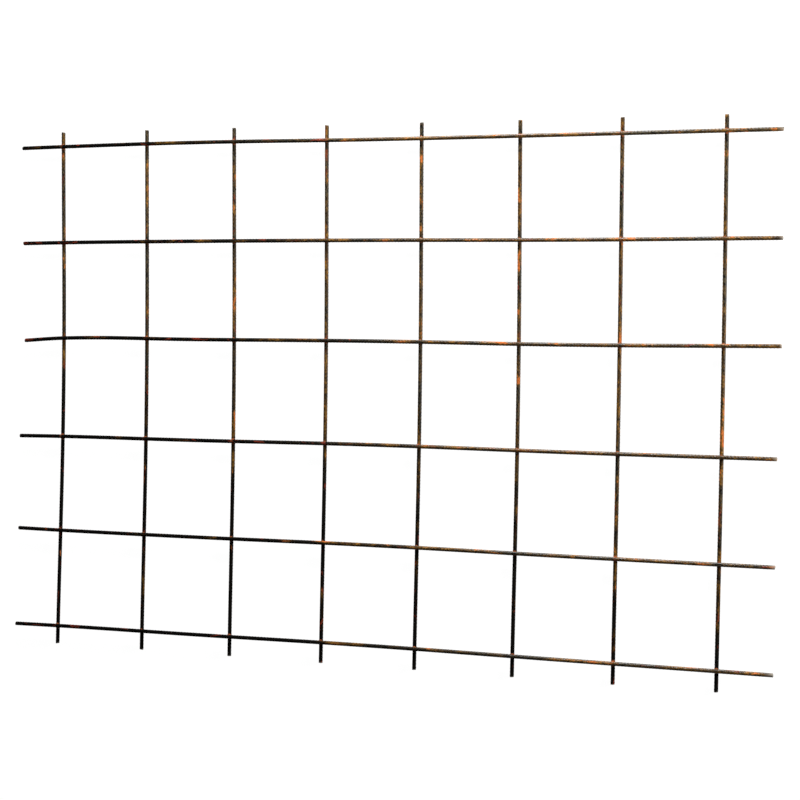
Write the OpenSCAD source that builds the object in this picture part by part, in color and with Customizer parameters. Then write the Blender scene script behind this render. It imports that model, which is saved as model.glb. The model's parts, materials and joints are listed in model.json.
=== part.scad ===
// Welded wire mesh panel, lying flat.
// Long wires run along X and lie on cross wires, which run along Y and rest on the floor.
// At every crossing the two wires are pressed into each other and fused by a resistance weld.
// The origin is in the middle of the panel, on the plane that it rests on. Millimetres, +Z up.

/* [Long wires] */
// How many long wires there are, side by side across the panel
long_count = 6; // [2:1:10]
// Distance between neighbouring long wires, centre to centre
long_pitch = 150; // [50:5:200]
// Diameter of a long wire
long_d = 6; // [4:0.5:10]
// Free length of a long wire past the last cross wire, from that wire's centre
long_overhang = 75; // [20:5:100]

/* [Cross wires] */
// How many cross wires there are, side by side along the panel
cross_count = 8; // [2:1:12]
// Distance between neighbouring cross wires, centre to centre
cross_pitch = 150; // [50:5:200]
// Diameter of a cross wire
cross_d = 6; // [4:0.5:10]
// Free length of a cross wire past the last long wire, from that wire's centre
cross_overhang = 25; // [15:5:100]

/* [Welds] */
// How far the two wires are pressed into each other at a crossing
weld_set = 1; // [0.5:0.1:1.5]
// How far the squeezed-out metal reaches past the fused patch, all round
weld_lip = 0.4; // [0.2:0.1:0.8]

/* [Hidden] */
$fn = 16;
wire_colour = "#4b3a2d";

// Lengths of the wires as cut
long_length = (cross_count - 1) * cross_pitch + 2 * long_overhang;
cross_length = (long_count - 1) * long_pitch + 2 * cross_overhang;

// Heights of the two layers of wire and of the welds between them
cross_z = cross_d / 2;
long_z = cross_d - weld_set + long_d / 2;
weld_z = cross_d - weld_set / 2;

// Two round wires pressed into each other meet in a nearly round patch
weld_patch_r = sqrt(2 * long_d * cross_d * weld_set / (long_d + cross_d));
weld_r = weld_patch_r + weld_lip;
// The squeezed-out ring is a little thinner than the set, so both wires close over its faces
ring_share = 0.75;
ring_h = ring_share * weld_set;

// Places of a row of copies, evenly spaced about the middle of the panel
function row(count, pitch) = [for (i = [0:count - 1]) (i - (count - 1) / 2) * pitch];

// One wire, cropped square at both ends, along Z and about its own middle
module wire(d, length) {
    cylinder(d = d, h = length, center = true);
}

// The lower layer: short wires along Y, in a row along X
module cross_wires() {
    for (x = row(cross_count, cross_pitch))
        translate([x, 0, cross_z]) rotate([90, 0, 0]) wire(cross_d, cross_length);
}

// The upper layer: long wires along X, in a row along Y
module long_wires() {
    for (y = row(long_count, long_pitch))
        translate([0, y, long_z]) rotate([0, 90, 0]) wire(long_d, long_length);
}

// The ring of metal squeezed out round each weld, in the wedge between the two wires
module weld_rings() {
    for (x = row(cross_count, cross_pitch), y = row(long_count, long_pitch))
        translate([x, y, weld_z]) cylinder(r = weld_r, h = ring_h, center = true);
}

// The whole panel, one fused piece of steel
module mesh_panel() {
    color(wire_colour) union() {
        cross_wires();
        long_wires();
        weld_rings();
    }
}

mesh_panel();
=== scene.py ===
"""Looks of a welded wire mesh panel: fourteen bent, ribbed and rusty wires and the beads of their welds.

The panel lies flat, as it is packed, with its long wires on top. The camera looks down on it from the side
that the photograph was taken from, so +Y is up in the picture. All lengths are in metres.
"""

import json
import math
import random

import bmesh
import bpy
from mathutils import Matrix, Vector


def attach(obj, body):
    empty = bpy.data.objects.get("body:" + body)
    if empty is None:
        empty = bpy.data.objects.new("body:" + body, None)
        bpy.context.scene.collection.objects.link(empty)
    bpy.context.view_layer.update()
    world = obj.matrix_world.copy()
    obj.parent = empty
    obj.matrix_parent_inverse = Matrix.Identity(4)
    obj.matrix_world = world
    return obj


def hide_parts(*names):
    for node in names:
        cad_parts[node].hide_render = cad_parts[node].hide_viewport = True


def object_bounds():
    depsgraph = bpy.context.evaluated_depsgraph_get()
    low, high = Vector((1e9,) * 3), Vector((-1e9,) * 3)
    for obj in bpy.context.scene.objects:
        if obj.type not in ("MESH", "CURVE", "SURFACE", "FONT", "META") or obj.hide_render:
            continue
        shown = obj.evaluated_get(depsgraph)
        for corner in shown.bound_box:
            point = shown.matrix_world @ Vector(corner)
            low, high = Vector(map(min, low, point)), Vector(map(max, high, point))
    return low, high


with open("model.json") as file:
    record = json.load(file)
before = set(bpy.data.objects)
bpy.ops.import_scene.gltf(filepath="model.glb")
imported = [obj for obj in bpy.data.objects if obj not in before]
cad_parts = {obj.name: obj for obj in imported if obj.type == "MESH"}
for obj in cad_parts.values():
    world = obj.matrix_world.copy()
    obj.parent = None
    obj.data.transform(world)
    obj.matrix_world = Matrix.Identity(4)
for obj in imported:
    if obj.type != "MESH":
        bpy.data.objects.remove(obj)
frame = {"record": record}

MM = 0.001
cad_low, cad_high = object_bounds()

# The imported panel. A mount gives the wire's radius and the clear span between two welds.
wire_span = {mount["name"]: mount for mount in frame["record"]["mounts"]}["outer_long_wire"]["dims"]
WIRE_D = 2 * wire_span["r_mm"] * MM
MESH_PITCH = wire_span["length_mm"] * MM + WIRE_D
LONG_COUNT = 6
CROSS_COUNT = 8
CROSS_Z = cad_low.z + WIRE_D / 2
LONG_Z = cad_high.z - WIRE_D / 2
WELD_Z = (CROSS_Z + LONG_Z) / 2

# Ribs: three rows of crescents round the wire, two of them leaning one way and one the other
RIB_PITCH = 5 * MM
RIB_HEIGHT = 0.3 * MM
RIB_ROWS = 3
SIDES_PER_ROW = 6
CREST_SHARES = (0, 0.6, 0.95, 1, 0.95, 0.6)
ROW_LEANS = (0.3 * MM, 0.3 * MM, -0.3 * MM)
CORE_R = WIRE_D / 2 - 0.1 * MM
RING_STEPS = (1.5 * MM, 1.0 * MM, 1.0 * MM, 1.5 * MM)
CREST_RING = 2.5 * MM
NEAR = 0.1 * MM

# Cut ends. The ribs start 0.5 to 1.5 mm from one end, and each of the last rings shrinks and steps on by a
# share of the rounding. END_REACH is more than the slanting edge of an open end takes along the wire.
RIBS_START = (0.5, 1.5)
END_ROOM = 2 * MM
END_REACH = 3 * MM
END_ROUNDING = 0.35 * MM
END_RINGS = ((0.93, 0.6), (0.86, 0.4), (0.5, -0.1))
END_TILT = math.radians(9)
END_BARE = 1.2 * MM

# Flats that the welding electrodes left, and how far along the wire their heat shows
FLAT_LENGTH = 7 * MM
FLAT_DEPTH = 0.3 * MM
FLAT_SQUEEZE = 0.1
HEAT_REACH = 9 * MM

# How the wires stray from straight lines, in millimetres, read off the photograph to half a millimetre.
# Each long wire, from the back of the panel to the front, has its length, its slide to the right along its
# own line, and its shift towards the back at the stations. Each cross wire, from left to right, has its
# shift to the right at the stations.
LONG_STATIONS = (-600, -525, -300, 0, 300, 600)
LONG_WIRES = (
    (1198.5, 4.5, (-1.5, -0.5, 1, -1, -1, -0.5)),
    (1197, 7, (-1, 0, 1, 1, 0, 1)),
    (1194, 9.5, (-3.5, 1, 1.5, 2.5, 1, 3)),
    (1198, 4, (-4, -3, -2.5, -0.5, -2, -2)),
    (1199, 3.5, (0, -0.5, -0.5, 1, -0.5, -1)),
    (1203, 1.5, (-2, -1, 0, 2, 1, 0.5)),
)
CROSS_STATIONS = (-404.5, 0, 397.5)
CROSS_WIRES = (
    (-2, 4.5, 0),
    (-3, 1, -3),
    (-2.5, 0, -4.5),
    (-1, 1.5, -2),
    (-1.5, 1.5, -1.5),
    (-0.5, 2.5, -0.5),
    (-0.5, 1.5, 0.5),
    (-2, 0, -1),
)
CROSS_LENGTH = 802 * MM
BEND_STEPS = 32
SMOOTH_UNDER = math.radians(50)

# Beads of squeezed-out metal
BEAD_R = 2.95 * MM
BEAD_THICK_R = 0.6 * MM
BEAD_SEGMENTS = 16
BEAD_SIDES = 8
BEAD_SADDLE = 1.05 * MM
BEAD_ROUGHNESS = 0.35 * MM
BEAD_LUMP = 1.6 * MM
BEAD_SWELL = (0.95, 1.12)

# Where the photograph was taken from: place in metres, turn in degrees, lens and sensor in millimetres
CAMERA_PLACE = (1.1393, 0.0734, 2.8306)
CAMERA_TURN = (-1.237, 21.168, 0.854)
CAMERA_LENS = 92.852
CAMERA_SENSOR = 36

# The room. Each lamp has its name, place, aim, width, height and power in watts. The floor's glow is what
# the camera sees, and its colour is what the lamps light.
LAMPS = (
    ("back_lamp", (-0.05, 1.4, 0.42), (1.1, -0.1, 0.0), 0.7, 0.12, 62),
    ("right_lamp", (1.6, 0.2, 0.3), (0.3, 0.1, 0.0), 0.5, 0.3, 30),
)
FLOOR_SIZE = 400.0
FLOOR_GAP = 0.3 * MM
FLOOR_GLOW = 0.98
FLOOR_COLOUR = (0.12, 0.12, 0.12, 1)
ROOM_LIGHT = 0.1

# Finishes
MILL_SCALE = (0.003, 0.0028, 0.0026, 1)
# Pale scale colour: partly dust and partly a painted highlight of the lamps
PALE_SCALE_AND_HIGHLIGHT = (0.11, 0.086, 0.046, 1)
RUST_FILM_DARK = (0.055, 0.028, 0.008, 1)
RUST_FILM_OCHRE = (0.26, 0.124, 0.02, 1)
RUST_PATCH = (0.52, 0.145, 0.032, 1)
RUST_PATCH_DEEP = (0.26, 0.066, 0.018, 1)
RUST_DARK = (0.17, 0.026, 0.012, 1)
BARE_STEEL = (0.42, 0.38, 0.33, 1)
BURNT_SCALE = (0.012, 0.010, 0.011, 1)
WELD_RUST = (0.26, 0.08, 0.03, 1)
SHEEN_ROUGHNESS = 0.38
SHEEN_IOR = 2.4
BUMP_DEPTH = 0.15 * MM

# How patches are drawn out along a wire and squeezed across it, and how the rust and the painted light
# spread over the panel, both growing towards the back right where the lamps are: how much more per metre
# along X and along Y, how much at the middle, and how much at most
ALONG_THE_WIRE = 0.65
ACROSS_THE_WIRE = 2.2
LONG_RUST_AND_LIGHT = (0.9, 0.3, -0.03, 0.28)
CROSS_RUST_AND_LIGHT = (0.45, 1.5, 0.04, 0.16)
WELD_RUST_AND_LIGHT = (0.5, 0.9, 0.0, 0.22)

random.seed(5)


def row(count):
    """Places of a row of wires, evenly spaced about the middle of the panel."""
    return [(i - (count - 1) / 2) * MESH_PITCH for i in range(count)]


def deselect_all():
    if bpy.context.object and bpy.context.object.mode != "OBJECT":
        bpy.ops.object.mode_set(mode="OBJECT")
    bpy.ops.object.select_all(action="DESELECT")


def edit(piece):
    """Opens one piece in edit mode, with nothing else selected."""
    deselect_all()
    piece.select_set(True)
    bpy.context.view_layer.objects.active = piece
    bpy.ops.object.mode_set(mode="EDIT")
    bpy.ops.mesh.select_mode(type="VERT")


def pick(piece, wanted):
    """Selects the vertices of the piece in edit mode whose place is wanted, and says how many there are."""
    mesh = bmesh.from_edit_mesh(piece.data)
    for vertex in mesh.verts:
        vertex.select = wanted(vertex.co)
    mesh.select_flush_mode()
    bmesh.update_edit_mesh(piece.data)
    return sum(vertex.select for vertex in mesh.verts)


def close_edit():
    bpy.ops.object.mode_set(mode="OBJECT")


def apply_modifier(piece, modifier):
    bpy.context.view_layer.objects.active = piece
    bpy.ops.object.modifier_apply(modifier=modifier.name)


def copy_of(piece, name):
    """A copy with its own mesh."""
    copy = piece.copy()
    copy.data = piece.data.copy()
    copy.name = name
    copy.data.name = name
    bpy.context.scene.collection.objects.link(copy)
    return copy


def mark(piece, name, share):
    """Stores a share from 0 to 1 for each vertex, worked out from its place, for the finishes to read."""
    mask = piece.data.attributes.get(name) or piece.data.attributes.new(name, "FLOAT", "POINT")
    for vertex, value in zip(piece.data.vertices, mask.data):
        value.value = share(vertex.co)


def turn_about_x(co):
    return math.atan2(co.z, co.y) % (2 * math.pi)


def rib_unit():
    """One rib pitch of wire along X, open at both ends."""
    sides = RIB_ROWS * SIDES_PER_ROW
    bpy.ops.mesh.primitive_circle_add(vertices=sides, radius=CORE_R, rotation=(0, math.pi / 2, 0))
    unit = bpy.context.object
    unit.name = "rib_unit"
    bpy.ops.object.transform_apply(location=True, rotation=True, scale=True)
    edit(unit)
    bpy.ops.mesh.select_all(action="SELECT")
    for step in RING_STEPS:
        bpy.ops.mesh.extrude_region_move(TRANSFORM_OT_translate={"value": (step, 0, 0)})
    column = 2 * math.pi / sides
    for i in range(sides):
        share = CREST_SHARES[i % SIDES_PER_ROW]
        lean = ROW_LEANS[i // SIDES_PER_ROW] * (i % SIDES_PER_ROW - SIDES_PER_ROW / 2)
        angle = i * column

        def on_column(co):
            return abs((turn_about_x(co) - angle + math.pi) % (2 * math.pi) - math.pi) < column / 4

        if share:
            pick(unit, lambda co: on_column(co) and abs(co.x - CREST_RING) < NEAR)
            grow = 1 + share * RIB_HEIGHT / CORE_R
            bpy.ops.transform.resize(value=(1, grow, grow), center_override=(CREST_RING, 0, 0))
        if i % SIDES_PER_ROW:
            pick(unit, on_column)
            bpy.ops.transform.translate(value=(lean, 0, 0))
    close_edit()
    mark(unit, "rib_crest", lambda co: max(0, (math.hypot(co.y, co.z) - CORE_R) / RIB_HEIGHT))
    return unit


def ribbed_wire(unit, length):
    """A straight ribbed wire along X from 0, open at both ends, with room for closing them."""
    wire = copy_of(unit, "ribbed_wire")
    array = wire.modifiers.new("ribs", "ARRAY")
    array.use_relative_offset = False
    array.use_constant_offset = True
    array.constant_offset_displace = (RIB_PITCH, 0, 0)
    array.count = int((length - END_ROOM) / RIB_PITCH)
    array.use_merge_vertices = True
    array.merge_threshold = NEAR / 10
    apply_modifier(wire, array)
    return wire


def wire_ring_x(wire):
    """Where the selected ring of a wire lies along it."""
    places = [vertex.co.x for vertex in bmesh.from_edit_mesh(wire.data).verts if vertex.select]
    return sum(places) / len(places)


def close_end(wire, end_x, outwards):
    """Carries an open end of a straight wire on to end_x and closes it as shears do, rounded and tilted."""
    edge_x = max(outwards * vertex.co.x for vertex in wire.data.vertices)
    edit(wire)
    bpy.ops.mesh.select_non_manifold(extend=False, use_wire=False, use_boundary=True)
    mesh = bmesh.from_edit_mesh(wire.data)
    for vertex in mesh.verts:
        if vertex.select and outwards * vertex.co.x < edge_x - END_REACH:
            vertex.select = False
    mesh.select_flush_mode()
    bmesh.update_edit_mesh(wire.data)
    shoulder_x = end_x - outwards * END_ROUNDING
    bpy.ops.mesh.extrude_region_move(TRANSFORM_OT_translate={"value": (outwards * RING_STEPS[-1], 0, 0)})
    bpy.ops.transform.resize(value=(0, 1, 1), center_override=(shoulder_x, 0, 0))
    bpy.ops.transform.translate(value=(shoulder_x - wire_ring_x(wire), 0, 0))
    for shrink, share in END_RINGS:
        step = outwards * share * END_ROUNDING
        bpy.ops.mesh.extrude_region_move(TRANSFORM_OT_translate={"value": (step, 0, 0)})
        bpy.ops.transform.resize(value=(1, shrink, shrink), center_override=(end_x, 0, 0))
    bpy.ops.mesh.edge_face_add()
    pick(wire, lambda co: outwards * (co.x - shoulder_x) > -NEAR)
    tilt = random.uniform(-END_TILT, END_TILT)
    bpy.ops.transform.rotate(value=tilt, orient_axis="Z", center_override=(end_x, 0, 0))
    close_edit()


def bend(wire, points):
    """Lays a straight wire, which runs along X from 0, along a smooth line through the points."""
    bpy.ops.curve.primitive_bezier_curve_add()
    line = bpy.context.object
    line.location = (0, 0, 0)
    spline = line.data.splines[0]
    spline.resolution_u = BEND_STEPS
    line.data.twist_mode = "Z_UP"
    spline.bezier_points.add(len(points) - 2)
    for knot, place in zip(spline.bezier_points, points):
        knot.handle_left_type = "AUTO"
        knot.handle_right_type = "AUTO"
        knot.co = place
    deselect_all()
    curve = wire.modifiers.new("bend", "CURVE")
    curve.object = line
    curve.deform_axis = "POS_X"
    apply_modifier(wire, curve)
    bpy.data.objects.remove(line)


def middle_near(wire, axis, place):
    """The middle of a finished wire, sideways, at a place along it."""
    other = 1 - axis
    near = [vertex.co[other] for vertex in wire.data.vertices if abs(vertex.co[axis] - place) < RIB_PITCH]
    return (min(near) + max(near)) / 2


def press_flats(wire, welds, height, side):
    """Presses a flat into the wire over each weld. side is 1 for the top and -1 for underneath."""
    level = height + side * (CORE_R - FLAT_DEPTH)
    edit(wire)
    for weld in welds:

        def under_electrode(co):
            near = (co.x - weld.x) ** 2 + (co.y - weld.y) ** 2 < (FLAT_LENGTH / 2) ** 2
            return near and side * (co.z - level) > 0

        if pick(wire, under_electrode):
            bpy.ops.transform.resize(value=(1, 1, FLAT_SQUEEZE), center_override=(0, 0, level))
    close_edit()


def finish_wire(wire, welds, height, side, axis, material):
    """Flats, marks for the finishes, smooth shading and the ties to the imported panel."""
    press_flats(wire, welds, height, side)
    mark(wire, "weld_heat", lambda co: max(0, 1 - min((co - weld).length for weld in welds) / HEAT_REACH))
    low = min(vertex.co[axis] for vertex in wire.data.vertices)
    high = max(vertex.co[axis] for vertex in wire.data.vertices)
    mark(wire, "cut_end", lambda co: float(min(co[axis] - low, high - co[axis]) < END_BARE))
    dress(wire, material)


def dress(piece, material):
    deselect_all()
    piece.select_set(True)
    bpy.context.view_layer.objects.active = piece
    piece.data.materials.clear()
    piece.data.materials.append(material)
    bpy.ops.object.shade_smooth_by_angle(angle=SMOOTH_UNDER)
    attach(piece, "root")
    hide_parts("mesh_panel")


def fair_normals(piece):
    edit(piece)
    bpy.ops.mesh.select_all(action="SELECT")
    bpy.ops.mesh.normals_make_consistent(inside=False)
    close_edit()


def laid_wire(straight, name, length, points):
    """A copy of a straight wire with closed ends, turned about its own line and bent through the points."""
    wire = copy_of(straight, name)
    shift = random.uniform(*RIBS_START) * MM
    turn = random.uniform(0, 2 * math.pi)
    edit(wire)
    bpy.ops.mesh.select_all(action="SELECT")
    bpy.ops.transform.translate(value=(shift, 0, 0))
    bpy.ops.transform.rotate(value=turn, orient_axis="X", center_override=(0, 0, 0))
    close_edit()
    close_end(wire, 0, -1)
    close_end(wire, length, 1)
    fair_normals(wire)
    bend(wire, points)
    return wire


def bead():
    """A ring of squeezed-out metal in the wedge between two crossed wires, lumpy and saddle-shaped."""
    bpy.ops.mesh.primitive_torus_add(
        major_segments=BEAD_SEGMENTS,
        minor_segments=BEAD_SIDES,
        major_radius=BEAD_R,
        minor_radius=BEAD_THICK_R,
    )
    ring = bpy.context.object
    ring.name = "bead"
    lumps = bpy.data.textures.new("lumps", "CLOUDS")
    lumps.noise_scale = BEAD_LUMP
    swell = ring.modifiers.new("lumps", "DISPLACE")
    swell.texture = lumps
    swell.strength = BEAD_ROUGHNESS
    apply_modifier(ring, swell)
    edit(ring)
    for i in range(BEAD_SEGMENTS):
        angle = 2 * math.pi * i / BEAD_SEGMENTS

        def on_segment(co):
            turn = math.atan2(co.y, co.x) - angle
            return abs((turn + math.pi) % (2 * math.pi) - math.pi) < math.pi / BEAD_SEGMENTS

        pick(ring, on_segment)
        bpy.ops.transform.translate(value=(0, 0, -BEAD_SADDLE * math.cos(2 * angle)))
    close_edit()
    return ring


def weld_beads(pattern, name, welds, material):
    """The beads along one long wire, as one piece, some turned end for end and all swollen a little."""
    beads = []
    for i, weld in enumerate(welds):
        one = copy_of(pattern, f"{name}_{i}")
        one.location = weld
        one.rotation_euler.z = random.choice((0, math.pi))
        one.scale = [random.uniform(*BEAD_SWELL) for _ in range(3)]
        beads.append(one)
    deselect_all()
    for one in beads:
        one.select_set(True)
    bpy.context.view_layer.objects.active = beads[0]
    bpy.ops.object.transform_apply(location=True, rotation=True, scale=True)
    bpy.ops.object.join()
    joined = bpy.context.object
    joined.name = name
    joined.data.name = name
    mark(joined, "weld_heat", lambda co: 1.0)
    fair_normals(joined)
    dress(joined, material)
    return joined


def add_node(tree, kind, inputs=None, **settings):
    """A shader node with its settings, and its inputs either linked from a socket or set to a value."""
    node = tree.nodes.new("ShaderNode" + kind)
    for name, value in settings.items():
        setattr(node, name, value)
    for name, value in (inputs or {}).items():
        if isinstance(value, bpy.types.NodeSocket):
            tree.links.new(value, node.inputs[name])
        else:
            node.inputs[name].default_value = value
    return node


def noise(tree, place, scale, detail=3.0, roughness=0.55, distortion=0.0):
    inputs = {
        "Vector": place,
        "Scale": scale,
        "Detail": detail,
        "Roughness": roughness,
        "Distortion": distortion,
    }
    return add_node(tree, "TexNoise", inputs).outputs["Fac"]


def ramp(tree, value, low, high, to_low=0.0, to_high=1.0):
    """A smooth step of a value from low to high."""
    inputs = {"Value": value, "From Min": low, "From Max": high, "To Min": to_low, "To Max": to_high}
    return add_node(tree, "MapRange", inputs, interpolation_type="SMOOTHSTEP").outputs["Result"]


def maths(tree, operation, a, b, clamp=False):
    return add_node(tree, "Math", {0: a, 1: b}, operation=operation, use_clamp=clamp).outputs[0]


def times(tree, a, b):
    return maths(tree, "MULTIPLY", a, b)


def plus(tree, a, b, clamp=False):
    return maths(tree, "ADD", a, b, clamp)


def mix_colour(tree, share, a, b):
    """Colour a with a share of colour b laid over it. The node's colour sockets are 6 and 7, and 2 out."""
    return add_node(tree, "Mix", {0: share, 6: a, 7: b}, data_type="RGBA").outputs[2]


def new_group(name, inputs, outputs):
    """An empty node group with its sockets, and its input and output nodes."""
    group = bpy.data.node_groups.new(name, "ShaderNodeTree")
    for title, kind in inputs:
        group.interface.new_socket(name=title, in_out="INPUT", socket_type="NodeSocket" + kind)
    for title, kind in outputs:
        group.interface.new_socket(name=title, in_out="OUTPUT", socket_type="NodeSocket" + kind)
    return group, group.nodes.new("NodeGroupInput"), group.nodes.new("NodeGroupOutput")


def rust_coat_group():
    """Where rust grows on the wire: a thin brown film, thick orange patches, and dark red spots."""
    group, given, made = new_group(
        "rust_coat",
        (("Place", "Vector"), ("RustAndLight", "Float")),
        (("Film", "Float"), ("Ochre", "Float"), ("Patch", "Float"), ("Spot", "Float")),
    )
    place, rust_and_light = given.outputs["Place"], given.outputs["RustAndLight"]
    broad = noise(group, place, 14.0, 2.0, 0.5)
    middling = noise(group, place, 42.0, 3.0, 0.55, 0.4)
    fine = noise(group, place, 130.0, 3.0, 0.6, 0.6)
    film = plus(group, times(group, broad, 0.5), times(group, middling, 0.5))
    film = plus(group, film, times(group, rust_and_light, 0.3))
    patch = plus(group, times(group, middling, 0.6), times(group, fine, 0.4))
    patch = plus(group, patch, times(group, rust_and_light, 0.1))
    ochre = plus(group, times(group, middling, 0.5), times(group, fine, 0.5))
    spot = noise(group, place, 60.0, 2.0, 0.5, 1.0)
    group.links.new(ramp(group, film, 0.43, 0.6), made.inputs["Film"])
    group.links.new(ramp(group, ochre, 0.45, 0.6), made.inputs["Ochre"])
    group.links.new(ramp(group, patch, 0.6, 0.64), made.inputs["Patch"])
    group.links.new(ramp(group, spot, 0.62, 0.68), made.inputs["Spot"])
    return group


def wire_grain_group():
    """Fine unevenness of scale and rust: a grain and a coarser mottle for colour, and a height for bump."""
    group, given, made = new_group(
        "wire_grain",
        (("Place", "Vector"), ("Rust", "Float")),
        (("Grain", "Float"), ("Mottle", "Float"), ("Height", "Float")),
    )
    place, rust = given.outputs["Place"], given.outputs["Rust"]
    grain = noise(group, place, 700.0, 4.0, 0.7)
    pits = add_node(group, "TexVoronoi", {"Vector": place, "Scale": 900.0}, feature="F1")
    rough = times(group, rust, plus(group, grain, pits.outputs["Distance"]))
    scaly = times(group, ramp(group, noise(group, place, 240.0, 3.0, 0.6), 0.4, 0.6), 0.35)
    mottle = ramp(group, noise(group, place, 290.0, 2.0, 0.6), 0.42, 0.58)
    group.links.new(grain, made.inputs["Grain"])
    group.links.new(mottle, made.inputs["Mottle"])
    group.links.new(plus(group, scaly, rough), made.inputs["Height"])
    return group


def use_group(tree, group, inputs):
    return add_node(tree, "Group", inputs, node_tree=group).outputs


def attribute(tree, name):
    return add_node(tree, "Attribute", attribute_name=name, attribute_type="GEOMETRY").outputs["Fac"]


def rust_and_light_spread(tree, place, rust_and_light_spreading):
    """How far the rust and the painted light have spread at a place on the panel. Both grow towards the
    back right, where the lamps are.
    """
    per_x, per_y, at_middle, at_most = rust_and_light_spreading
    xyz = add_node(tree, "SeparateXYZ", {"Vector": place}).outputs
    rust_and_light = plus(tree, times(tree, xyz["X"], per_x), at_middle)
    rust_and_light = plus(tree, rust_and_light, times(tree, xyz["Y"], per_y))
    return maths(tree, "MINIMUM", rust_and_light, at_most)


def scale_colour(tree, rust_and_light, rust, grain):
    """Black mill scale, paler towards the back right, partly with dust and partly with a painted highlight,
    with dark red specks.
    """
    # The pale share grows towards the back right: partly dust, partly a painted highlight where the lamps
    # shine
    dust_and_highlight = times(tree, grain["Mottle"], ramp(tree, rust_and_light, -0.3, 0.3, 0.04))
    dust_and_highlight = times(tree, dust_and_highlight, ramp(tree, grain["Grain"], 0.35, 0.7, 0.3))
    specks = times(tree, rust["Spot"], ramp(tree, grain["Grain"], 0.4, 0.6, 0.4))
    return mix_colour(tree, specks, mix_colour(tree, dust_and_highlight, MILL_SCALE, PALE_SCALE_AND_HIGHLIGHT), RUST_DARK)


def film_colour(tree, colour, rust_and_light, rust, grain):
    """Lays a broken brown film over the scale, bared to steel here and there, more on rib crests and
    towards the back right, partly wear and partly painted glints, and orange patches over it.
    """
    crest = attribute(tree, "rib_crest")
    ochre = plus(tree, times(tree, rust["Ochre"], 0.75), times(tree, crest, 0.12), clamp=True)
    broken = times(tree, rust["Film"], ramp(tree, grain["Mottle"], 0.0, 1.0, 0.35))
    colour = mix_colour(tree, broken, colour, mix_colour(tree, ochre, RUST_FILM_DARK, RUST_FILM_OCHRE))
    # Bare steel, more on the rib crests and towards the back right: partly wear and partly painted glints
    # of the lamps on the ribs
    worn_and_glint = ramp(tree, plus(tree, times(tree, crest, 0.3), grain["Grain"]), 0.7, 0.95)
    worn_and_glint = times(tree, worn_and_glint, ramp(tree, rust_and_light, -0.3, 0.3, 0.04, 0.18))
    colour = mix_colour(tree, worn_and_glint, colour, BARE_STEEL)
    patch = mix_colour(tree, ramp(tree, grain["Grain"], 0.4, 0.6), RUST_PATCH_DEEP, RUST_PATCH)
    return mix_colour(tree, rust["Patch"], colour, patch)


def weld_colour(tree, place, colour, grain, burnt):
    """Blackens the wire towards the welds, and rusts some of the welds themselves."""
    heat = attribute(tree, "weld_heat")
    burn = ramp(tree, plus(tree, heat, times(tree, grain["Grain"], 0.4)), 0.45, 0.9)
    colour = mix_colour(tree, times(tree, burn, burnt), colour, BURNT_SCALE)
    seared = plus(tree, heat, noise(tree, place, 9.0, 1.0))
    return mix_colour(tree, ramp(tree, seared, 0.95, 1.2), colour, WELD_RUST)


def rusty_wire(name, along, drawn_out, groups, rust_and_light_spreading, burnt, gloss):
    """Old drawn wire: dark mill scale under a film of rust with orange patches, burnt at the welds.

    along is the axis that the patches are drawn out on, and a smaller drawn_out makes them longer there.
    The spread it takes is one of those above, of rust and of painted light. burnt is how far the welds have
    blackened the wire, and gloss is the weight of the thin sheen on its scale.
    """
    material = bpy.data.materials.new(name)
    material.use_nodes = True
    tree = material.node_tree
    tree.nodes.clear()
    place = add_node(tree, "TexCoord").outputs["Object"]
    squeeze = [drawn_out if axis == along else ACROSS_THE_WIRE for axis in range(3)]
    drawn = add_node(tree, "Mapping", {"Vector": place, "Scale": squeeze}).outputs["Vector"]
    rust_and_light = rust_and_light_spread(tree, place, rust_and_light_spreading)
    rust = use_group(tree, groups["rust_coat"], {"Place": drawn, "RustAndLight": rust_and_light})
    grain = use_group(tree, groups["wire_grain"], {"Place": drawn, "Rust": rust["Film"]})
    cut = attribute(tree, "cut_end")
    colour = scale_colour(tree, rust_and_light, rust, grain)
    colour = film_colour(tree, colour, rust_and_light, rust, grain)
    colour = weld_colour(tree, place, colour, grain, burnt)
    colour = mix_colour(tree, times(tree, cut, 0.35), colour, BARE_STEEL)
    sheen = ramp(tree, rust_and_light, -0.3, 0.3, 0.08)
    sheen = times(tree, sheen, ramp(tree, grain["Mottle"], 0.0, 1.0, 1.0, 0.5))
    sheen = times(tree, sheen, ramp(tree, rust["Patch"], 0.0, 1.0, gloss, 0.15 * gloss))
    bump = add_node(tree, "Bump", {"Height": grain["Height"], "Strength": 0.6, "Distance": BUMP_DEPTH})
    shader = add_node(tree, "BsdfPrincipled", {
        "Base Color": colour,
        "Roughness": ramp(tree, rust["Patch"], 0.0, 1.0, 0.6, 0.85),
        "Metallic": times(tree, cut, 0.4),
        "Normal": bump.outputs["Normal"],
        "Specular IOR Level": 0.0,
        "Coat Weight": sheen,
        "Coat Roughness": SHEEN_ROUGHNESS,
        "Coat IOR": SHEEN_IOR,
    })
    add_node(tree, "OutputMaterial", {"Surface": shader.outputs["BSDF"]})
    return material


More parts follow.
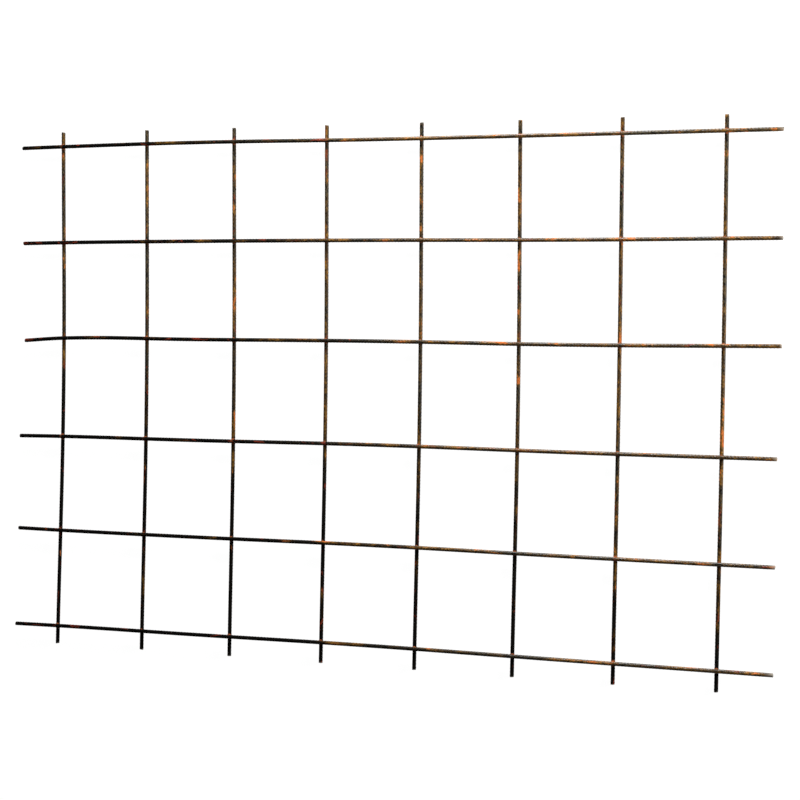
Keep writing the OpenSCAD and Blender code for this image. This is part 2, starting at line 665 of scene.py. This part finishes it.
def pale_floor():
    """A white floor that shows white to the camera and to gloss, and still takes the panel's shadow."""
    bpy.ops.mesh.primitive_plane_add(size=FLOOR_SIZE, location=(0, 0, cad_low.z - FLOOR_GAP))
    floor = bpy.context.object
    floor.name = "floor"
    material = bpy.data.materials.new("pale_floor")
    material.use_nodes = True
    tree = material.node_tree
    tree.nodes.clear()
    path = add_node(tree, "LightPath").outputs
    seen = maths(tree, "MAXIMUM", path["Is Camera Ray"], path["Is Glossy Ray"])
    seen = maths(tree, "MAXIMUM", seen, path["Is Transmission Ray"])
    glow = add_node(tree, "Emission", {"Color": (1, 1, 1, 1), "Strength": times(tree, seen, FLOOR_GLOW)})
    matt = add_node(tree, "BsdfDiffuse", {"Color": FLOOR_COLOUR})
    both = add_node(tree, "AddShader", {0: glow.outputs[0], 1: matt.outputs[0]})
    add_node(tree, "OutputMaterial", {"Surface": both.outputs[0]})
    floor.data.materials.append(material)


def area_lamp(name, place, target, width, height, power):
    data = bpy.data.lights.new(name, "AREA")
    data.shape = "RECTANGLE"
    data.size = width
    data.size_y = height
    data.energy = power
    lamp = bpy.data.objects.new(name, data)
    bpy.context.scene.collection.objects.link(lamp)
    lamp.location = place
    lamp.rotation_euler = (Vector(target) - Vector(place)).to_track_quat("-Z", "Y").to_euler()


def light():
    """A soft lamp beyond the back edge and a weaker one beyond the right edge, both low, and a dim room."""
    for lamp in LAMPS:
        area_lamp(*lamp)
    world = bpy.data.worlds.new("dim_room")
    world.use_nodes = True
    backdrop = world.node_tree.nodes["Background"]
    backdrop.inputs["Color"].default_value = (1, 1, 1, 1)
    backdrop.inputs["Strength"].default_value = ROOM_LIGHT
    bpy.context.scene.world = world


def camera():
    data = bpy.data.cameras.new("camera")
    data.lens = CAMERA_LENS
    data.sensor_width = CAMERA_SENSOR
    eye = bpy.data.objects.new("camera", data)
    bpy.context.scene.collection.objects.link(eye)
    eye.location = CAMERA_PLACE
    eye.rotation_euler = [math.radians(angle) for angle in CAMERA_TURN]
    bpy.context.scene.camera = eye


def build_panel():
    groups = {"rust_coat": rust_coat_group(), "wire_grain": wire_grain_group()}
    long_finish = rusty_wire("rusty_long_wire", 0, ALONG_THE_WIRE, groups, LONG_RUST_AND_LIGHT, 0.5, 0.16)
    cross_finish = rusty_wire("rusty_cross_wire", 1, ALONG_THE_WIRE, groups, CROSS_RUST_AND_LIGHT, 0.5, 0.06)
    bead_finish = rusty_wire("rusty_weld", 2, 1.0, groups, WELD_RUST_AND_LIGHT, 0.9, 0.1)
    deselect_all()
    unit = rib_unit()
    long_straight = ribbed_wire(unit, min(length for length, slide, shifts in LONG_WIRES) * MM)
    cross_straight = ribbed_wire(unit, CROSS_LENGTH)
    long_wires = []
    for i, (y, (length, slide, shifts)) in enumerate(zip(reversed(row(LONG_COUNT)), LONG_WIRES)):
        line = [((x + slide) * MM, y + shift * MM, LONG_Z) for x, shift in zip(LONG_STATIONS, shifts)]
        line[0] = ((slide - length / 2) * MM, line[0][1], LONG_Z)
        long_wires.append(laid_wire(long_straight, f"long_wire_{i + 1}", length * MM, line))
    cross_wires = []
    for i, (x, shifts) in enumerate(zip(row(CROSS_COUNT), CROSS_WIRES)):
        line = [(x + shift * MM, y * MM, CROSS_Z) for y, shift in zip(CROSS_STATIONS, shifts)]
        cross_wires.append(laid_wire(cross_straight, f"cross_wire_{i + 1}", CROSS_LENGTH, line))
    welds = {}
    for i, (long_wire, y) in enumerate(zip(long_wires, reversed(row(LONG_COUNT)))):
        for j, (cross_wire, x) in enumerate(zip(cross_wires, row(CROSS_COUNT))):
            place = (middle_near(cross_wire, 1, y), middle_near(long_wire, 0, x), WELD_Z)
            welds[i, j] = Vector(place)
    pattern = bead()
    for i, wire in enumerate(long_wires):
        on_wire = [welds[i, j] for j in range(CROSS_COUNT)]
        finish_wire(wire, on_wire, LONG_Z, 1, 0, long_finish)
        weld_beads(pattern, f"weld_beads_{i + 1}", on_wire, bead_finish)
    for j, wire in enumerate(cross_wires):
        finish_wire(wire, [welds[i, j] for i in range(LONG_COUNT)], CROSS_Z, -1, 1, cross_finish)
    for scrap in (unit, long_straight, cross_straight, pattern):
        bpy.data.objects.remove(scrap)


build_panel()
pale_floor()
light()
camera()
bpy.context.scene.view_settings.view_transform = "Standard"
